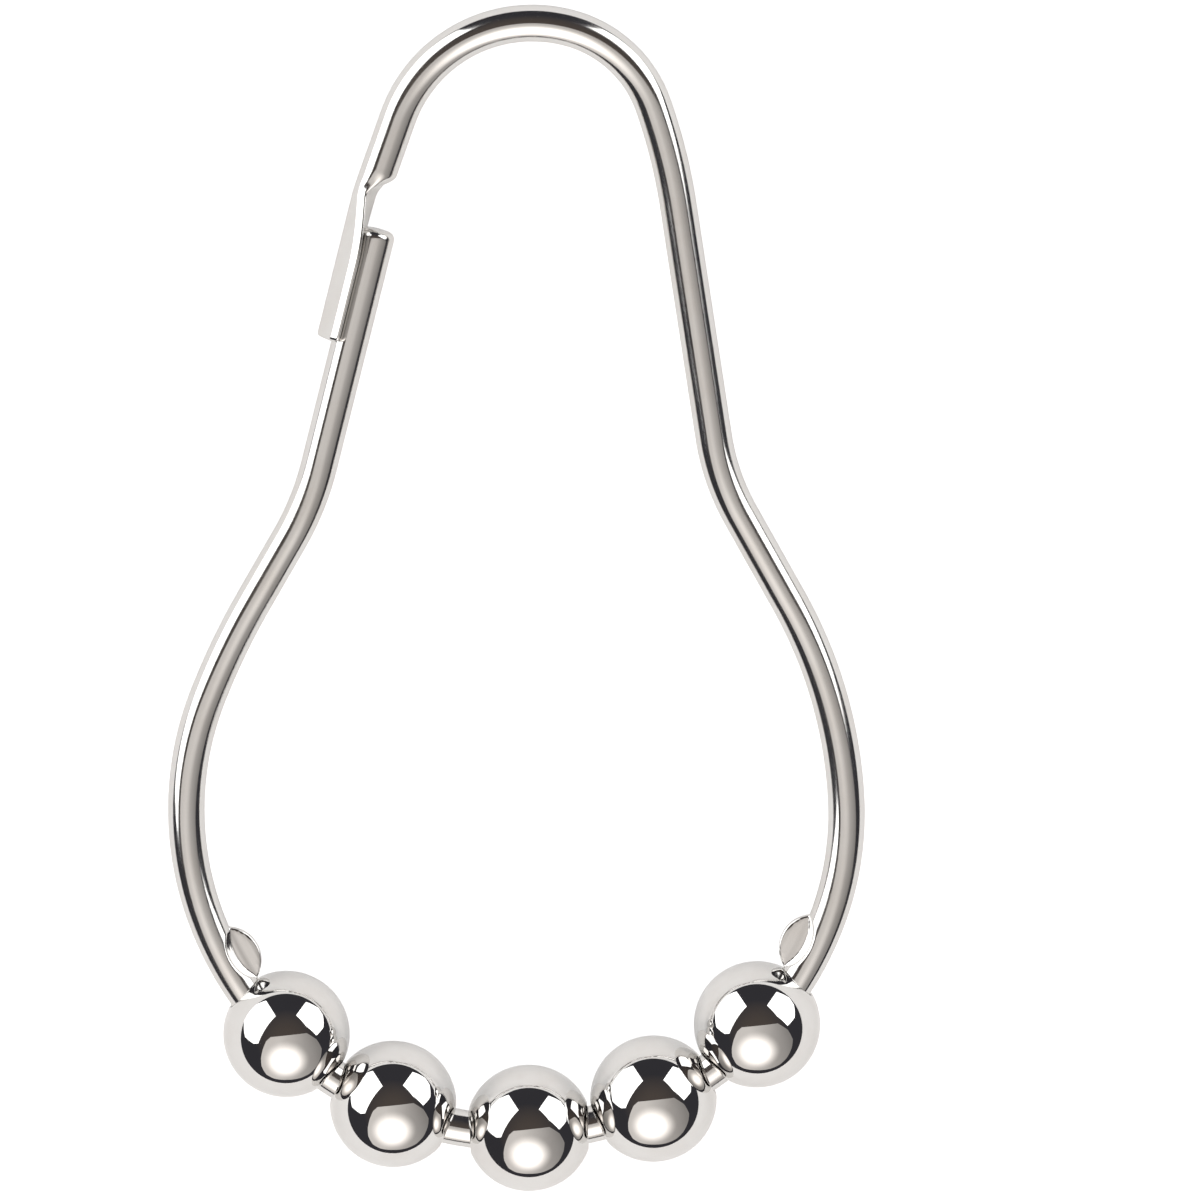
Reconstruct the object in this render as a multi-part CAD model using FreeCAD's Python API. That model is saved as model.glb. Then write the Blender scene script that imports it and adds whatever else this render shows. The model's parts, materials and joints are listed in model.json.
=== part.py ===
import FreeCAD, Part
import math
import os

from FreeCAD import Vector

os.makedirs("parts", exist_ok=True)

# A shower curtain hook, in millimetres: one spring wire bent into a pear-shaped loop, with a
# pressed catch that takes its free end, and hollow balls that turn on its wide bottom arc.
# The loop is drawn in its own plane, x to the right and y towards the narrow end, with the
# centre of the bottom arc at the origin. The last step lays the hook on the floor.

# Wire
wire_diameter = 2.15
wire_radius = wire_diameter / 2

# Bottom arc, the round stretch that carries the balls
bottom_arc_radius = 19.2
bottom_arc_half_angle = 69.5

# Left arm, from the bottom arc up to the free end. Its belly ends where the wire has turned
# this far since the bottom of the loop.
left_belly_radius = 18.3
left_belly_end_turn = 111.4
left_flank_radius = 41.8
left_flank_angle = 8.5
left_flank_run = 4.15
left_waist_radius = 16.8
left_waist_angle = 15.9
free_end_run = 14.1
tip_rounding = 0.45

# Right arm, from the bottom arc up to the crown, with its belly's end given the same way
right_belly_radius = 17.6
right_belly_end_turn = 92.9
right_flank_radius = 26.6
right_flank_angle = 26.3
right_flank_run = 5.75
right_waist_radius = 13.3
right_waist_angle = 20.5

# Crown, the narrow arc at the top. Its left bend turns through what the others leave, and its
# two bends are as wide as the loop needs, in this ratio of the right radius to the left one.
crown_shoulder_radius = 32.5
crown_shoulder_angle = 10.6
crown_right_angle = 53.6
crown_radius_ratio = 0.854
crown_run = 3.2

# Catch, the far end of the wire pressed flat and folded into an open gutter
catch_wall = 0.65
catch_wall_slope = 58.0
catch_floor_radius = 0.3
catch_seat_gap = 0.08
catch_length = 8.8
catch_shoulder_length = 1.5
catch_shoulder_lean = 5.5
catch_tip_distance = 1.98
catch_rim_reach = 1.35
catch_neck_front_reach = 0.8
catch_neck_back_reach = 1.25
catch_rise = 4.3
catch_corner_rounding = 0.4

# Points round the wire that flow into the corners of the gutter, as degrees from its outer side
neck_spine_angle = 30.0
neck_outer_rim_angle = 80.0
neck_inner_rim_angle = 125.0
neck_floor_angle = 165.0

# Hollow balls
ball_count = 5
ball_diameter = 7.36
ball_wall = 0.7
ball_hollow_belt = 2.4
ball_hole_clearance = 0.14
ball_hole_bevel = 0.1
ball_gap = 0.07
slack_gap = 0.65
balls_left_of_slack = 2
ball_row_angle = 1.2

# Ears, the two leaf-shaped stops pinched out of the wire's inner side
ear_length = 3.3
ear_lift = 0.12
ear_reach = 0.9
ear_bite = 0.5
ear_thickness = 0.66
ear_bevel = 0.14
ear_wall_lean = 28.0
left_ear_gap = 0.1
right_ear_gap = 0.12

# Directions
ring_normal = Vector(0, 0, 1)
full_turn = 360.0
half_turn = 180.0
quarter_turn = 90.0


def direction(degrees):
    """Unit vector in the ring's plane, counted from +x towards +y."""
    angle = math.radians(degrees)
    return Vector(math.cos(angle), math.sin(angle), 0)


def arc_edge(first, middle, last):
    return Part.Arc(first, middle, last).toShape()


def line_edge(first, last):
    return Part.makeLine(first, last)


class Route:
    """A flat path of straight runs and tangent bends. A positive bend turns left."""

    def __init__(self, start, heading):
        self.point = start
        self.heading = heading
        self.edges = []
        self.centre = start

    def run(self, length):
        end = self.point + direction(self.heading) * length
        self.edges.append(line_edge(self.point, end))
        self.point = end

    def bend(self, radius, angle):
        side = quarter_turn if angle > 0 else -quarter_turn
        self.centre = self.point + direction(self.heading + side) * radius
        middle = self.centre + direction(self.heading - side + angle / 2) * radius
        end = self.centre + direction(self.heading - side + angle) * radius
        self.edges.append(arc_edge(self.point, middle, end))
        self.point = end
        self.heading += angle


def draw_left_arm():
    """From the bottom of the loop, clockwise, up to the free tip."""
    route = Route(Vector(0, -bottom_arc_radius, 0), half_turn)
    route.bend(bottom_arc_radius, -bottom_arc_half_angle)
    route.bend(left_belly_radius, bottom_arc_half_angle - left_belly_end_turn)
    route.bend(left_flank_radius, -left_flank_angle)
    route.run(left_flank_run)
    route.bend(left_waist_radius, left_waist_angle)
    route.run(free_end_run)
    return route


def draw_right_waist():
    """From the bottom of the loop, anticlockwise, up to the start of the neck."""
    route = Route(Vector(0, -bottom_arc_radius, 0), 0.0)
    route.bend(bottom_arc_radius, bottom_arc_half_angle)
    route.bend(right_belly_radius, right_belly_end_turn - bottom_arc_half_angle)
    route.bend(right_flank_radius, right_flank_angle)
    route.run(right_flank_run)
    route.bend(right_waist_radius, -right_waist_angle)
    return route


def draw_crown(route, left_angle, neck_run, left_radius):
    """From the start of the neck, over the top, to the start of the catch."""
    route.run(neck_run)
    route.bend(crown_shoulder_radius, crown_shoulder_angle)
    route.bend(left_radius * crown_radius_ratio, crown_right_angle)
    route.bend(left_radius, left_angle)
    route.run(crown_run)


def crown_end(neck_run, left_radius):
    """Where the crown would end with this neck and this left bend."""
    trial = Route(right_arm.point, right_arm.heading)
    draw_crown(trial, crown_left_angle, neck_run, left_radius)
    return trial.point


# Catch section: a wide V round the free end. Its places are counted inwards from the outer edge.
slope_sine = math.sin(math.radians(catch_wall_slope))
slope_cosine = math.cos(math.radians(catch_wall_slope))
inner_apex = catch_wall + catch_floor_radius - catch_floor_radius / slope_sine
seat_depth = inner_apex + (wire_radius + catch_seat_gap) / slope_sine

# The free end sets where the gutter lies, and the wire comes down to it at a slight lean
left_arm = draw_left_arm()
free_tip = left_arm.point
free_direction = direction(left_arm.heading)
gutter_heading = left_arm.heading + half_turn
shoulder_heading = gutter_heading - catch_shoulder_lean
gutter_corner = (
    free_tip
    + free_direction * catch_tip_distance
    - direction(gutter_heading + quarter_turn) * seat_depth
)
shoulder_corner = gutter_corner - direction(shoulder_heading) * catch_shoulder_length
shoulder_centre = shoulder_corner + direction(shoulder_heading + quarter_turn) * wire_radius

# The neck and the left bend take the length and the radius that close the loop on the catch
right_arm = draw_right_waist()
crown_left_angle = shoulder_heading - right_arm.heading - crown_shoulder_angle - crown_right_angle
unit = 1.0
trial_end = crown_end(unit, unit)
by_run = crown_end(unit + unit, unit) - trial_end
by_radius = crown_end(unit, unit + unit) - trial_end
missing = shoulder_centre - trial_end
span = by_run.cross(by_radius).z
neck_run = unit + missing.cross(by_radius).z / span
crown_left_radius = unit + by_run.cross(missing).z / span
draw_crown(right_arm, crown_left_angle, neck_run, crown_left_radius)
crown_top = right_arm.centre

# Ball places: each hole's middle lies on the wire, so a ball's centre lies inside the arc
ball_radius = ball_diameter / 2
hole_radius = wire_radius + ball_hole_clearance
hole_station = math.sqrt((ball_radius - ball_wall / 2) ** 2 - hole_radius ** 2)
ball_circle_radius = math.sqrt(bottom_arc_radius ** 2 - hole_station ** 2)


def ball_step(gap):
    """Angle between two neighbouring balls with this gap between them."""
    return 2 * math.degrees(math.asin((ball_diameter + gap) / 2 / ball_circle_radius))


def ball_angles():
    """Angles from straight down, from the left ball to the right one."""
    angles = [0.0]
    for index in range(1, ball_count):
        gap = slack_gap if index == balls_left_of_slack else ball_gap
        angles.append(angles[-1] + ball_step(gap))
    first = ball_row_angle - angles[-1] / 2
    return [first + angle for angle in angles]


def on_arc(radius, angle):
    """A point on a circle round the bottom arc's centre, by its angle from straight down."""
    return direction(angle - quarter_turn) * radius


def arc_placement(radius, angle):
    """Local x runs along the arc, local y points to the arc's centre, local z is the normal."""
    inward = direction(angle + quarter_turn)
    turn = FreeCAD.Rotation(direction(angle), inward, ring_normal, "XYZ")
    return FreeCAD.Placement(on_arc(radius, angle), turn)


# Ear places: an ear's points lie just inside the wire's inner edge, and one stops short of a ball
ear_circle_radius = bottom_arc_radius - wire_radius - ear_lift


def ear_step(gap):
    """Angle between an end ball and its ear, with this gap between them."""
    distance = ball_radius + gap
    cosine = (
        (ball_circle_radius ** 2 + ear_circle_radius ** 2 - distance ** 2)
        / (2 * ball_circle_radius * ear_circle_radius)
    )
    return math.degrees(math.acos(cosine) + math.asin(ear_length / 2 / ear_circle_radius))


def leaf_outline(length, reach, bite, height):
    """Two arcs that meet in points: one bulges out of the wire and one into it."""
    left = Vector(-length / 2, 0, height)
    right = Vector(length / 2, 0, height)
    outer = arc_edge(left, Vector(0, reach, height), right)
    inner = arc_edge(right, Vector(0, -bite, height), left)
    return Part.Wire([outer, inner])


def make_ear_fin():
    """The thin leaf in the ring's plane, with bevelled edges."""
    face_height = ear_thickness / 2
    edge_height = face_height - ear_bevel
    face = (ear_length - 2 * ear_bevel, ear_reach - ear_bevel, ear_bite)
    edge = (ear_length, ear_reach, ear_bite)
    core = Part.Face(leaf_outline(*edge, -edge_height)).extrude(ring_normal * 2 * edge_height)
    front = Part.makeLoft([leaf_outline(*edge, edge_height), leaf_outline(*face, face_height)], True, True)
    back = Part.makeLoft([leaf_outline(*face, -face_height), leaf_outline(*edge, -edge_height)], True, True)
    return core.fuse([front, back]).removeSplitter()


def make_ear_punch():
    """What the press takes off above the fin. Its wall leans outwards towards the front."""
    half = ear_thickness / 2
    grown = wire_diameter * math.tan(math.radians(ear_wall_lean))
    floor = leaf_outline(ear_length, ear_reach, ear_bite, half)
    mouth = leaf_outline(
        ear_length + 2 * grown, ear_reach + grown, ear_bite + grown, half + wire_diameter
    )
    return Part.makeLoft([floor, mouth], True, True)


def add_ear(wire, angle):
    place = arc_placement(ear_circle_radius, angle)
    front = make_ear_punch()
    back = front.mirror(Vector(0, 0, 0), ring_normal)
    fin = make_ear_fin()
    for tool in (front, back, fin):
        tool.Placement = place.multiply(tool.Placement)
    return wire.cut([front, back]).fuse(fin).removeSplitter()


def section_placement(corner, heading):
    """Local x points inwards, local y across the ring, local z along the wire to the open end."""
    inward = direction(heading + quarter_turn)
    return FreeCAD.Placement(corner, FreeCAD.Rotation(inward, ring_normal, direction(heading), "XYZ"))


def gutter_section(front_reach, back_reach, station):
    """Closed outline of the gutter at a station along it, with the reach of its two walls."""
    floor_centre = Vector(inner_apex + catch_floor_radius / slope_sine, 0, 0)

    def wall_points(side, reach):
        along = Vector(slope_cosine, side * slope_sine, 0)
        outwards = Vector(-slope_sine, side * slope_cosine, 0)
        floor_end = floor_centre + outwards * catch_floor_radius
        rim = floor_end + along * ((reach - floor_end.x) / slope_cosine)
        return floor_end + outwards * catch_wall, rim + outwards * catch_wall, rim, floor_end

    spine_front, outer_front, rim_front, floor_front = wall_points(1, front_reach)
    spine_back, outer_back, rim_back, floor_back = wall_points(-1, back_reach)
    floor_middle = floor_centre - Vector(catch_floor_radius, 0, 0)
    spine_middle = floor_middle - Vector(catch_wall, 0, 0)
    outline = Part.Wire([
        line_edge(spine_front, outer_front),
        line_edge(outer_front, rim_front),
        line_edge(rim_front, floor_front),
        arc_edge(floor_front, floor_middle, floor_back),
        line_edge(floor_back, rim_back),
        line_edge(rim_back, outer_back),
        line_edge(outer_back, spine_back),
        arc_edge(spine_back, spine_middle, spine_front),
    ])
    corner = gutter_corner + direction(gutter_heading) * station
    outline.Placement = section_placement(corner, gutter_heading)
    return outline


def round_section():
    """The round wire at the shoulder, cut into as many stretches as the gutter's outline."""
    corners = [neck_spine_angle, neck_outer_rim_angle, neck_inner_rim_angle, neck_floor_angle]
    angles = corners + [full_turn - corner for corner in reversed(corners)] + [full_turn + corners[0]]

    def on_wire(angle):
        turned = math.radians(angle)
        return Vector(wire_radius - wire_radius * math.cos(turned), wire_radius * math.sin(turned), 0)

    outline = Part.Wire([
        arc_edge(on_wire(start), on_wire((start + end) / 2), on_wire(end))
        for start, end in zip(angles, angles[1:])
    ])
    outline.Placement = section_placement(shoulder_corner, shoulder_heading)
    return outline


def round_rim_corners(gutter):
    """Rounds the corners of the two rims at the open end."""
    end_plane = gutter_corner + direction(gutter_heading) * catch_length
    corners = [
        edge for edge in gutter.Edges
        if abs((edge.CenterOfMass - end_plane).dot(direction(gutter_heading))) < catch_seat_gap
        and abs(edge.Length - catch_wall) < catch_seat_gap
        and abs(edge.CenterOfMass.z) > catch_wall
    ]
    return gutter.makeFillet(catch_corner_rounding, corners)


def make_catch():
    """Shoulder, rising walls and gutter, from the round wire to the square cut end."""
    neck = gutter_section(catch_neck_front_reach, catch_neck_back_reach, 0)
    full = gutter_section(catch_rim_reach, catch_rim_reach, catch_rise)
    shoulder = Part.makeLoft([round_section(), neck], True, True)
    rise = Part.makeLoft([neck, full], True, True)
    gutter = Part.Face(full).extrude(direction(gutter_heading) * (catch_length - catch_rise))
    return shoulder.fuse([rise, round_rim_corners(gutter)])


def make_round_wire():
    """The wire's round stretch, from the rounded free tip to the catch."""
    path = Part.Wire(Part.__sortEdges__(left_arm.edges + right_arm.edges))
    profile = Part.Face(Part.Wire(Part.makeCircle(wire_radius, free_tip, free_direction)))
    solid = path.makePipe(profile)
    tip_edges = [
        edge for edge in solid.Edges
        if isinstance(edge.Curve, Part.Circle)
        and (edge.CenterOfMass - free_tip).Length < tip_rounding
    ]
    return solid.makeFillet(tip_rounding, tip_edges)


def make_wire_ring():
    angles = ball_angles()
    ring = make_round_wire()
    ring = add_ear(ring, angles[0] - ear_step(left_ear_gap))
    ring = add_ear(ring, angles[-1] + ear_step(right_ear_gap))
    return ring.fuse(make_catch()).removeSplitter()


def make_ball(angle):
    """A hollow ball, turned about the wire. A belt and two cones follow its round wall inside."""
    rim_radius = hole_radius + ball_hole_bevel
    rim_height = math.sqrt(ball_radius ** 2 - rim_radius ** 2)
    inner_radius = ball_radius - ball_wall
    belt_height = ball_hollow_belt / 2
    half_section = [
        Vector(rim_radius, 0, rim_height),
        Vector(hole_radius, 0, rim_height - ball_hole_bevel),
        Vector(hole_radius, 0, math.sqrt(inner_radius ** 2 - hole_radius ** 2)),
        Vector(math.sqrt(inner_radius ** 2 - belt_height ** 2), 0, belt_height),
    ]
    section = half_section + [Vector(point.x, 0, -point.z) for point in reversed(half_section)]
    edges = [line_edge(first, last) for first, last in zip(section, section[1:])]
    edges.append(arc_edge(section[-1], Vector(ball_radius, 0, 0), section[0]))
    ball = Part.Face(Part.Wire(edges)).revolve(Vector(0, 0, 0), ring_normal, full_turn)
    ball.Placement = section_placement(on_arc(ball_circle_radius, angle), angle)
    return ball


def resting_placement(nodes):
    """Tips the ring about its end balls until the crown touches the floor, then centres it."""
    first = on_arc(ball_circle_radius, ball_angles()[0])
    last = on_arc(ball_circle_radius, ball_angles()[-1])
    tip_axis = (last - first).normalize()
    crown_distance = (crown_top - first).dot(ring_normal.cross(tip_axis)) + crown_left_radius
    tip_angle = math.degrees(math.asin((ball_radius - wire_radius) / crown_distance))
    tipped = FreeCAD.Placement(Vector(0, 0, 0), FreeCAD.Rotation(tip_axis, -tip_angle), first)
    laid = Part.makeCompound([shape.copy() for shape in nodes.values()])
    laid.Placement = tipped.multiply(laid.Placement)
    box = laid.optimalBoundingBox(False)
    shift = Vector(-box.Center.x, -box.Center.y, ball_radius - first.z)
    print("tip angle", round(tip_angle, 3), "lowest point", round(box.ZMin + shift.z, 4))
    print("size", round(box.XLength, 3), round(box.YLength, 3), round(box.ZLength, 3))
    return FreeCAD.Placement(shift, FreeCAD.Rotation()).multiply(tipped)


nodes = {"wire_ring": make_wire_ring()}
for number, angle in enumerate(ball_angles(), start=1):
    nodes[f"roller_ball_{number}"] = make_ball(angle)

resting = resting_placement(nodes)
for name, shape in nodes.items():
    shape.Placement = resting.multiply(shape.Placement)
    shape.exportStep(f"parts/{name}.step")
    print(name, "valid", shape.isValid(), "solids", len(shape.Solids), "volume", round(shape.Volume, 3))
print("neck run", round(neck_run, 3), "crown radius", round(crown_left_radius, 3))
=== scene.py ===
# %% [markdown]
# # A shower curtain hook in bright nickel
#
# The real object is one spring wire bent into a pear-shaped loop, with five hollow balls
# threaded on its wide end. It is plated and polished, so almost everything that the eye sees on
# it is a reflection. Two things decide the look: surfaces without a single flat facet, and a
# studio worth reflecting. This file makes the surfaces first and the studio last.

# %% Load the frame
import json
import math

import bpy
import bmesh
from mathutils import Matrix, Vector


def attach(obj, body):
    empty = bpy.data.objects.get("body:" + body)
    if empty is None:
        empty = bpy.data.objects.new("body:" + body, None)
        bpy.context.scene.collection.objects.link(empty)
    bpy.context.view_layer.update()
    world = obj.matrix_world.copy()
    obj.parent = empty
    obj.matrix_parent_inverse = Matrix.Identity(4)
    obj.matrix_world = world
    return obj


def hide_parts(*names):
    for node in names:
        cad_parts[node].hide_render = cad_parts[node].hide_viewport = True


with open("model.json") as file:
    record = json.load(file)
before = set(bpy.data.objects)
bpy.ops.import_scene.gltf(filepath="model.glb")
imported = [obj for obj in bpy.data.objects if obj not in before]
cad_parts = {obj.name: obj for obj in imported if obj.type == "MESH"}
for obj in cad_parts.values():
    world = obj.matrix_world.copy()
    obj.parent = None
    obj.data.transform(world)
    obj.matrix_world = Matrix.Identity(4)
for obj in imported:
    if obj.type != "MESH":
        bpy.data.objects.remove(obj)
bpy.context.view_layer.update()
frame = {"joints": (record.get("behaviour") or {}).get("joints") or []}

# %% [markdown]
# ## The ring's own plane
#
# The hook lies on the floor on its two end balls and its crown, so its plane leans by a few
# degrees. All drawing is easier in that plane, flat, in millimetres, with the centre of the wide
# arc as the origin. The frame knows where each ball turns, and three points on a circle give its
# centre: that is the whole placement, with nothing measured by hand.

# %% Find the plane of the ring
MM = 0.001
ball_joints = sorted(frame["joints"], key=lambda joint: joint["name"])
pivots = [Vector(joint["pos_m"]) for joint in ball_joints]


def circle_centre(a, b, c):
    """The centre of the circle through three points."""
    ab = b - a
    ac = c - a
    normal = ab.cross(ac)
    lift = normal.cross(ab) * ac.length_squared + ac.cross(normal) * ab.length_squared
    return a + lift / (2 * normal.length_squared)


arc_centre = circle_centre(pivots[0], pivots[len(pivots) // 2], pivots[-1])
ring_normal = (pivots[-1] - pivots[0]).cross(arc_centre - pivots[0]).normalized()
lean = Vector((0, 0, 1)).rotation_difference(ring_normal)
plane = Matrix.Translation(arc_centre) @ lean.to_matrix().to_4x4()
plane_mm = plane @ Matrix.Scale(MM, 4)
ball_circle = (pivots[0] - arc_centre).length / MM
print("lean", round(math.degrees(lean.angle), 2), "degrees; ball circle",
      round(ball_circle, 3), "mm")

# %% [markdown]
# ## The wire's route
#
# A bent wire is a chain of straight runs and round bends, each one leaving in the direction in
# which the last one ended. A small "turtle" keeps that chain: it knows its point and heading, and
# it remembers every piece, so that any place along the wire can be asked for by its distance.
# Exact arcs matter here: on polished metal the eye sees a kink in a reflection long before it
# sees one in an outline.

# %% A route of runs and bends
BOTTOM_ARC_RADIUS = 19.2


def heading_vector(degrees):
    angle = math.radians(degrees)
    return Vector((math.cos(angle), math.sin(angle), 0))


class Route:
    """Straight runs and tangent bends in a plane. A positive bend turns left."""

    def __init__(self, heading):
        self.point = Vector((0, -BOTTOM_ARC_RADIUS, 0))
        self.heading = heading
        self.length = 0.0
        self.pieces = []

    def add(self, length, turn):
        self.pieces.append((self.length, length, turn, self.point.copy(), self.heading))
        self.point, self.heading = self.place(self.pieces[-1], length)
        self.length += length

    def run(self, length):
        self.add(length, 0.0)

    def bend(self, radius, turn):
        self.add(radius * math.radians(abs(turn)), turn)

    def place(self, piece, distance):
        """Point and heading at this distance along one piece."""
        length, turn, point, heading = piece[1:]
        turned = turn * distance / length
        if turn == 0:
            return point + heading_vector(heading) * distance, heading
        chord = 2 * length / abs(math.radians(turn)) * math.sin(math.radians(abs(turned)) / 2)
        return point + heading_vector(heading + turned / 2) * chord, heading + turned

    def at(self, distance):
        for piece in self.pieces:
            if distance <= piece[0] + piece[1]:
                break
        return self.place(piece, distance - piece[0])


half_turn = Route(0.0)
half_turn.bend(1, 180)
print("half a circle of radius 1 mm is", round(half_turn.length, 3), "mm long")

# %% [markdown]
# ## Two arms from the bottom
#
# Both arms start at the bottom of the wide arc. Each bend is a pair: its radius in millimetres
# and its turn in degrees. The left arm goes all the way to the free tip. The right arm stops
# above its waist, because the crown that follows has to be worked out.

# %% Lay out the two arms
BOTTOM_ARC_HALF_ANGLE = 69.5
LEFT_BELLY = (18.3, -41.9)
LEFT_FLANK = (41.8, -8.5)
LEFT_WAIST_RUN = 4.15
LEFT_WAIST = (16.8, 15.9)
LEFT_END_RUN = 14.1
RIGHT_BELLY = (17.6, 23.4)
RIGHT_FLANK = (26.6, 26.3)
RIGHT_WAIST_RUN = 5.75
RIGHT_WAIST = (13.3, -20.5)

left_arm = Route(180.0)
left_arm.bend(BOTTOM_ARC_RADIUS, -BOTTOM_ARC_HALF_ANGLE)
left_arm.bend(*LEFT_BELLY)
left_arm.bend(*LEFT_FLANK)
left_arm.run(LEFT_WAIST_RUN)
left_arm.bend(*LEFT_WAIST)
left_arm.run(LEFT_END_RUN)

right_arm = Route(0.0)
right_arm.bend(BOTTOM_ARC_RADIUS, BOTTOM_ARC_HALF_ANGLE)
right_arm.bend(*RIGHT_BELLY)
right_arm.bend(*RIGHT_FLANK)
right_arm.run(RIGHT_WAIST_RUN)
right_arm.bend(*RIGHT_WAIST)
print("left arm", round(left_arm.length, 2), "mm; right arm so far",
      round(right_arm.length, 2), "mm")

# %% [markdown]
# ## Where the crown meets the catch
#
# The loop is closed by a gutter that takes the free end, so the free end decides where the
# gutter lies. The crown then needs the one radius, and the neck below it the one length, that
# bring the wire exactly there. The end of the crown moves in step with both, so two trial routes
# show how far it moves for each, and two equations give the answer.

# %% Place the gutter and close the loop
WIRE_RADIUS = 2.15 / 2
GUTTER_WALL = 0.65
GUTTER_SLOPE = math.radians(58)
GUTTER_FLOOR_RADIUS = 0.3
GUTTER_LENGTH = 8.8
SEAT_GAP = 0.08
SHOULDER_LENGTH = 1.5
SHOULDER_LEAN = 5.5
TIP_DISTANCE = 1.98
NECK_BEND = (32.5, 10.6)
CROWN_FIRST_TURN = 53.6
CROWN_RADIUS_RATIO = 0.854
CATCH_RUN = 3.2

gutter_apex = GUTTER_WALL + GUTTER_FLOOR_RADIUS - GUTTER_FLOOR_RADIUS / math.sin(GUTTER_SLOPE)
seat_depth = gutter_apex + (WIRE_RADIUS + SEAT_GAP) / math.sin(GUTTER_SLOPE)
gutter_heading = left_arm.heading + 180
shoulder_heading = gutter_heading - SHOULDER_LEAN
gutter_corner = (
    left_arm.point
    + heading_vector(left_arm.heading) * TIP_DISTANCE
    - heading_vector(gutter_heading + 90) * seat_depth
)
shoulder_corner = gutter_corner - heading_vector(shoulder_heading) * SHOULDER_LENGTH
shoulder_centre = shoulder_corner + heading_vector(shoulder_heading + 90) * WIRE_RADIUS


def add_crown(route, neck_run, crown_radius):
    route.run(neck_run)
    route.bend(*NECK_BEND)
    route.bend(crown_radius * CROWN_RADIUS_RATIO, CROWN_FIRST_TURN)
    route.bend(crown_radius, shoulder_heading - route.heading)
    route.run(CATCH_RUN)
    return route.point


def trial_crown(neck_run, crown_radius):
    trial = Route(right_arm.heading)
    trial.point = right_arm.point
    return add_crown(trial, neck_run, crown_radius)


base = trial_crown(1, 1)
by_run = trial_crown(2, 1) - base
by_radius = trial_crown(1, 2) - base
missing = shoulder_centre - base
span = by_run.cross(by_radius).z
neck_run = 1 + missing.cross(by_radius).z / span
crown_radius = 1 + by_run.cross(missing).z / span
add_crown(right_arm, neck_run, crown_radius)
print("neck", round(neck_run, 3), "mm; crown radius", round(crown_radius, 3),
      "mm; miss", round((right_arm.point - shoulder_centre).length, 6), "mm")

# %% [markdown]
# ## How finely to cut the wire
#
# A sweep needs a list of stations. Bends and straight runs are happy with one every few tenths
# of a millimetre, but the rounded tip and the two pinched ears carry small forms and need far
# more. So each place along the wire says how long a step it can stand.

# %% Stations along the wire
TIP_ROUNDING = 0.45
EAR_LENGTH = 3.3
EAR_ZONE = EAR_LENGTH / 2 + 5
EAR_GAPS = (0.1, 0.12)
EAR_LIFT = 0.12
BALL_RADIUS = 7.36 / 2
FIRST_STEP = 0.02
STEP_GROWTH = 1 / 8
EAR_STEP = 0.05
EAR_MARGIN = 0.5
CROWDING_STEP = 0.15
WIRE_STEP = 0.3
ear_circle = BOTTOM_ARC_RADIUS - WIRE_RADIUS - EAR_LIFT
in_plane = [plane_mm.inverted() @ pivot for pivot in pivots]
ball_angles = [math.degrees(math.atan2(point.x, -point.y)) for point in in_plane]


def ear_step(gap):
    """Angle from an end ball to its ear, with this gap between them."""
    reach = BALL_RADIUS + gap
    cosine = (ball_circle ** 2 + ear_circle ** 2 - reach ** 2) / (2 * ball_circle * ear_circle)
    return math.degrees(math.acos(cosine) + math.asin(EAR_LENGTH / 2 / ear_circle))


ear_angles = [ball_angles[0] - ear_step(EAR_GAPS[0]), ball_angles[-1] + ear_step(EAR_GAPS[1])]
ear_stations = [math.radians(angle) * BOTTOM_ARC_RADIUS for angle in ear_angles]


def on_wire(station):
    """Point and heading at a distance from the bottom, negative towards the free tip."""
    if station < 0:
        point, heading = left_arm.at(-station)
        return point, heading + 180
    return right_arm.at(station)


def step_at(station):
    """The longest step that the form allows here."""
    from_tip = station + left_arm.length
    from_ear = min(abs(station - ear) for ear in ear_stations)
    if from_tip < TIP_ROUNDING:
        return FIRST_STEP + from_tip * STEP_GROWTH
    if from_ear < EAR_LENGTH / 2 + EAR_MARGIN:
        return EAR_STEP
    if from_ear < EAR_ZONE:
        return CROWDING_STEP
    return WIRE_STEP


stations = [-left_arm.length]
while stations[-1] < right_arm.length:
    stations.append(min(stations[-1] + step_at(stations[-1]), right_arm.length))
print(len(stations), "stations on", round(left_arm.length + right_arm.length, 1), "mm of wire")

# %% [markdown]
# ## Sweep the wire with Geometry Nodes
#
# A round wire that follows a path is what Curve to Mesh is for. The tree turns a chain of points
# into a curve, keeps its rings upright with Z Up normals, and sweeps a circle along it. Its Scale
# input narrows the circle near the start, so the free end gets its rounded tip from the same
# sweep. Every size is a named input, and each input is set by its identifier, because two
# sockets may share a name. First come the chain of points and a few helpers for trees.

# %% The path, and helpers for node trees
path_mesh = bpy.data.meshes.new("wire path")
path_mesh.from_pydata([on_wire(station)[0] for station in stations],
                      [(index, index + 1) for index in range(len(stations) - 1)], [])
print("path of", len(path_mesh.edges), "short lines")


def add_sockets(tree, sockets, direction):
    for name, kind in sockets:
        tree.interface.new_socket(name, in_out=direction, socket_type="NodeSocket" + kind)


def set_input(modifier, name, value):
    """Sets a tree's named input on its modifier by the socket's identifier."""
    for item in modifier.node_group.interface.items_tree:
        if item.in_out == "INPUT" and item.name == name:
            modifier[item.identifier] = value


def math_node(tree, operation, first, second):
    """A Math node that takes two sockets or numbers and gives back its result."""
    node = tree.nodes.new("ShaderNodeMath")
    node.operation = operation
    for socket, value in zip(node.inputs, (first, second)):
        if isinstance(value, (int, float)):
            socket.default_value = value
        else:
            tree.links.new(value, socket)
    return node.outputs[0]


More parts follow.
